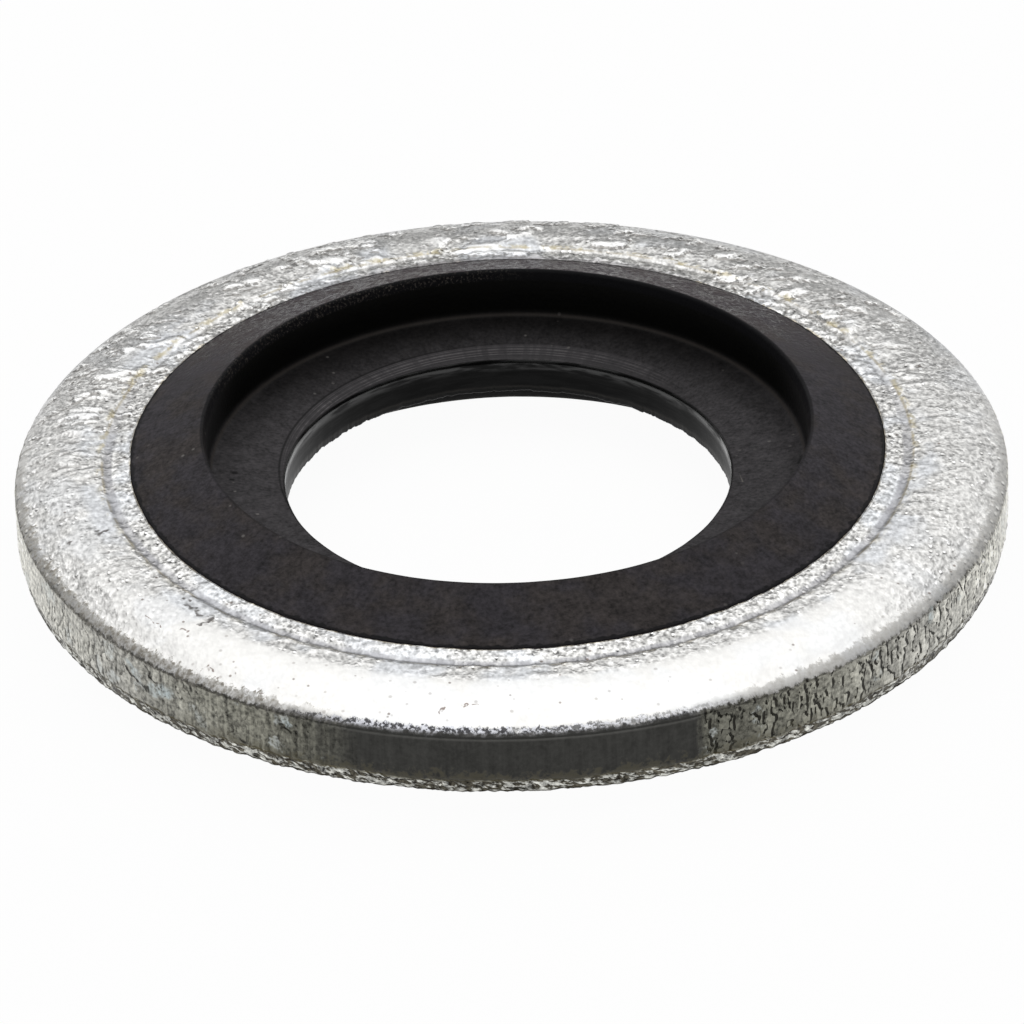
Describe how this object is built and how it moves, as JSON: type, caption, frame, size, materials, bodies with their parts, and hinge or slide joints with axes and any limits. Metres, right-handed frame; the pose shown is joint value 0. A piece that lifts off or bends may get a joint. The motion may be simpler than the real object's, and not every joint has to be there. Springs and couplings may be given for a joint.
{
  "type": "bonded sealing washer",
  "caption": "Flat steel ring with a rubber seal bonded into its bore: a sealing lip on each face and a thin centring web that grips the screw thread.",
  "frame": {"origin": "centre of the bore, on the plane that the lower lip's crest rests on", "axes": "+Z along the bore axis, towards the face whose outer shoulder is rounded"},
  "size_m": [0.011, 0.011, 0.0017],
  "materials": {
    "plated_steel": "zinc-plated and tumbled, dimpled, with a torn band at the foot of the sheared edge",
    "nitrile_rubber": "matt, moulded"
  },
  "bodies": {
    "root": {"steel_ring": "plated_steel", "rubber_seal": "nitrile_rubber"}
  },
  "joints": []
}
